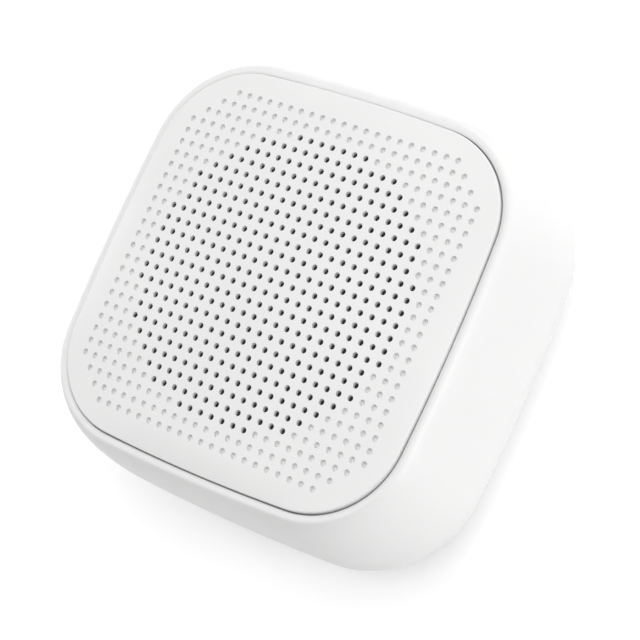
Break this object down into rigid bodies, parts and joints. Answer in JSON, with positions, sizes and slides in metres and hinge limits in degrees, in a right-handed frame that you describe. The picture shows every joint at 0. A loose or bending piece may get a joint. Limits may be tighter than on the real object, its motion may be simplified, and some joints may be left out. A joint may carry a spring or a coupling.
{
  "type": "smart speaker",
  "caption": "Square pocket smart speaker with a domed perforated front panel, bowed sides, side keys, charging socket and a rubber foot.",
  "frame": {"origin": "centre of the foot pad's face, which the speaker rests on", "axes": "+Z is the way the grille faces, +Y is the key side, -X is the side with the charging socket"},
  "size_m": [0.054, 0.054, 0.0245],
  "materials": {
    "panel_plastic": "fine satin moulded white",
    "body_plastic": "smooth satin white",
    "key_plastic": "smooth satin white",
    "silicone": "matte silicone",
    "foam": "closed-cell foam",
    "mesh_fabric": "fine acoustic mesh",
    "tape": "adhesive tape",
    "steel": "nickel-plated",
    "basket_metal": "black coated steel",
    "magnet": "nickel-plated",
    "paper": "polyimide former",
    "copper": "enamelled copper wire",
    "spider_cloth": "resin-treated cloth",
    "cone_paper": "coated paper",
    "black_rubber": "matte rubber",
    "circuit_board": "green solder mask",
    "wire": "insulated wire",
    "chip_black": "moulded epoxy",
    "ceramic": "ceramic",
    "black_plastic": "moulded black",
    "pouch": "laminated foil pouch",
    "natural_nylon": "natural nylon",
    "ribbon": "polyimide ribbon",
    "led_white": "encapsulated",
    "clear_plastic": "frosted clear"
  },
  "bodies": {
    "case": {"front_grille": "panel_plastic", "grille_tape": "foam", "grille_mesh": "mesh_fabric", "driver_gasket": "foam", "housing": "body_plastic", "rear_cover": "body_plastic", "foot_pad": "silicone", "pad_tape": "tape", "case_screws": "steel", "driver_basket": "basket_metal", "driver_seal": "foam", "driver_yoke": "steel", "driver_magnet": "magnet", "pole_piece": "steel", "spider": "spider_cloth", "surround": "black_rubber", "driver_terminals": "circuit_board", "speaker_leads": "wire", "main_board": "circuit_board", "board_screws": "steel", "wireless_chip": "chip_black", "amplifier_chip": "chip_black", "crystal": "steel", "power_inductor": "chip_black", "board_parts": "ceramic", "antenna": "ceramic", "usb_socket": "steel", "usb_tongue": "black_plastic", "battery": "pouch", "battery_tape": "tape", "battery_leads": "wire", "battery_connector": "natural_nylon", "speaker_connector": "natural_nylon", "key_board": "circuit_board", "key_ribbon": "ribbon", "power_switch": "steel", "voice_switch": "steel", "status_led": "led_white", "light_pipe": "clear_plastic", "microphone": "steel", "mic_boot": "black_rubber"},
    "power_button": {"power_key": "key_plastic", "power_plunger": "black_plastic"},
    "voice_button": {"voice_key": "key_plastic", "voice_plunger": "black_plastic"},
    "diaphragm": {"cone": "cone_paper", "dust_cap": "cone_paper", "coil_former": "paper", "coil_winding": "copper"}
  },
  "joints": [
    {"name": "power_press", "type": "slide", "parent": "case", "child": "power_button", "axis": [0, -1, 0], "range_m": [0, 0.0003], "stiffness_N_per_m": 2500},
    {"name": "voice_press", "type": "slide", "parent": "case", "child": "voice_button", "axis": [0, -1, 0], "range_m": [0, 0.0003], "stiffness_N_per_m": 2500},
    {"name": "cone_travel", "type": "slide", "parent": "case", "child": "diaphragm", "axis": [0, 0, 1], "range_m": [-0.0008, 0.0008], "stiffness_N_per_m": 900, "deforming": ["surround", "spider"]}
  ]
}
